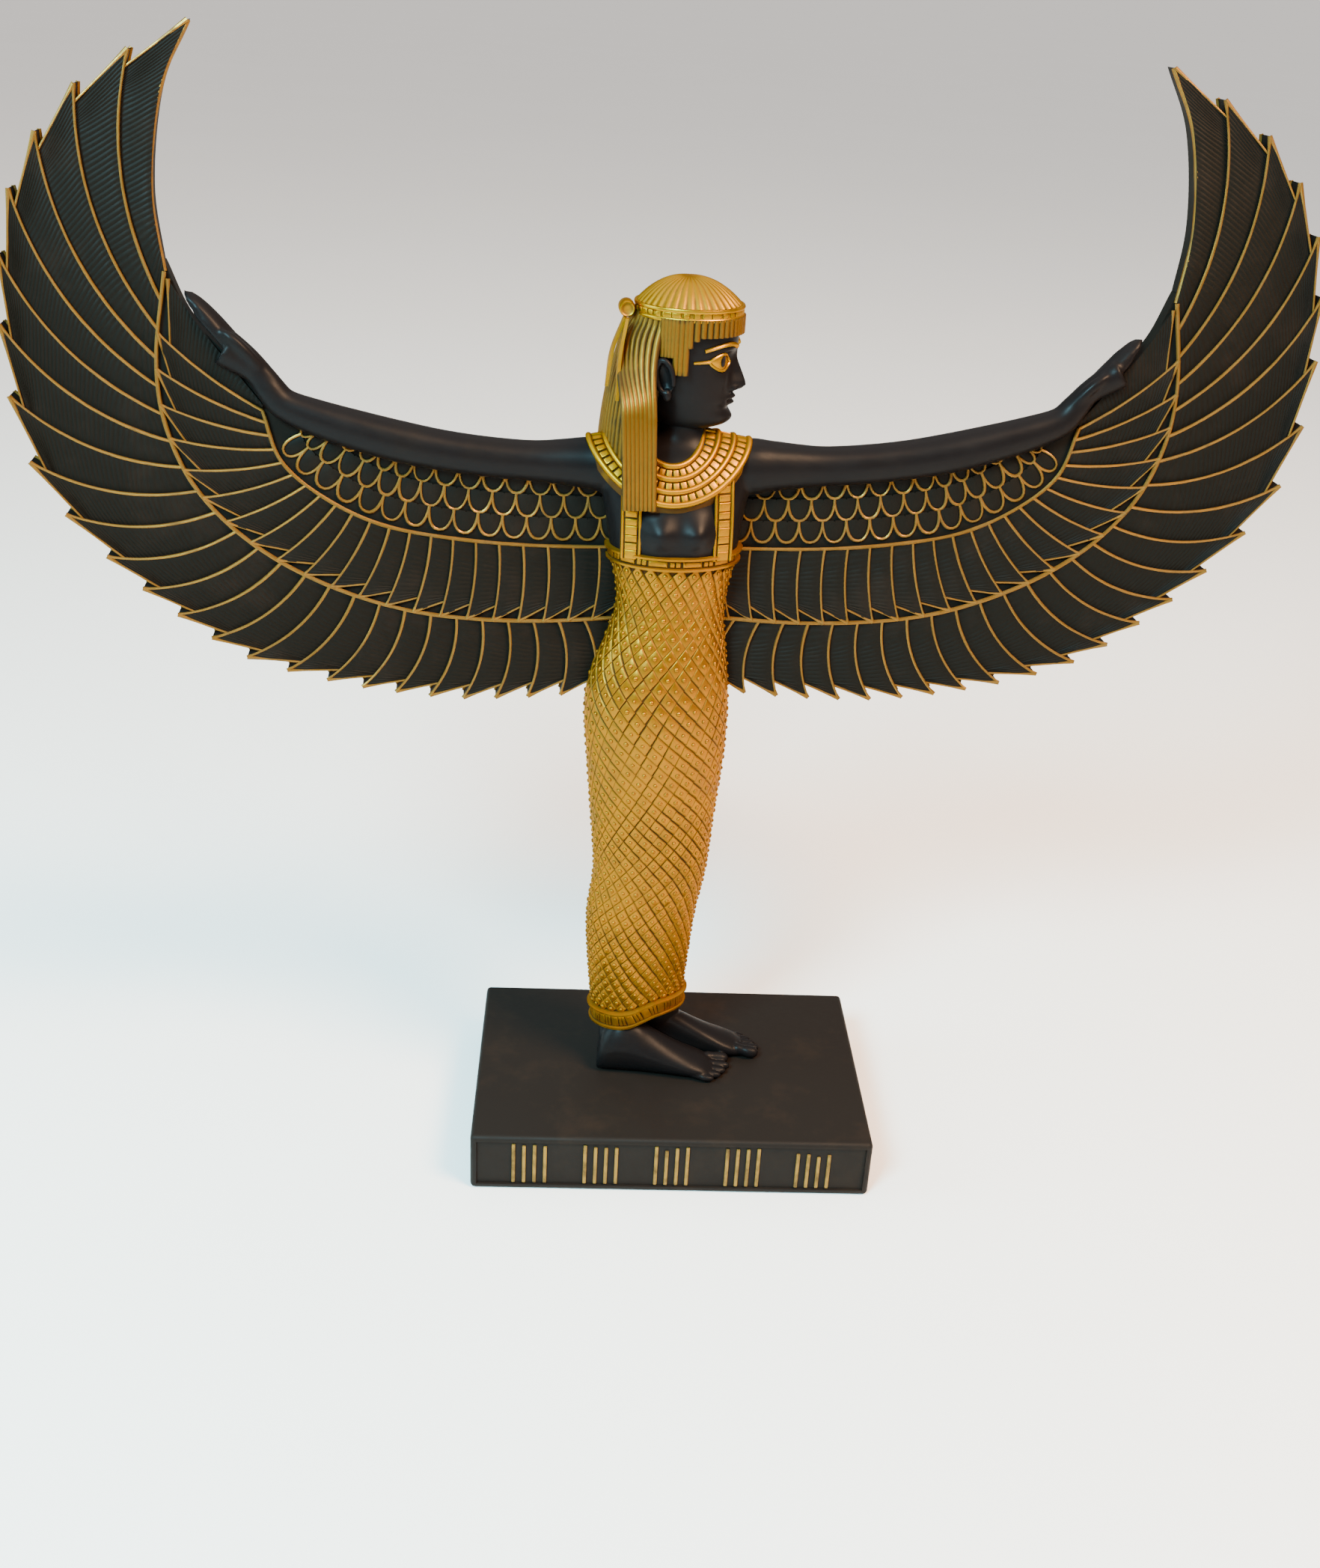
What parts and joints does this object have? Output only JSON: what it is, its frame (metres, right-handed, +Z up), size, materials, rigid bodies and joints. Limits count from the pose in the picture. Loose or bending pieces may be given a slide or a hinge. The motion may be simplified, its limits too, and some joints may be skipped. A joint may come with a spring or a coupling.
{
  "type": "winged goddess statuette",
  "caption": "Standing Egyptian goddess statuette with raised feathered wings, black resin with gold paint, on a rectangular plinth.",
  "frame": {"origin": "middle of the plinth's underside", "axes": "+X is the way the feet and the face point, +Y runs away from a viewer who faces the spread wings, +Z up"},
  "size_m": [0.2842, 0.067, 0.2616],
  "materials": {
    "black_resin": "satin black resin with faint brown rubs",
    "gold_paint": "antique gold paint, worn on the ridges and washed brown in the grooves"
  },
  "bodies": {
    "root": {"figure": "gold_paint", "plinth": "black_resin"}
  },
  "joints": []
}
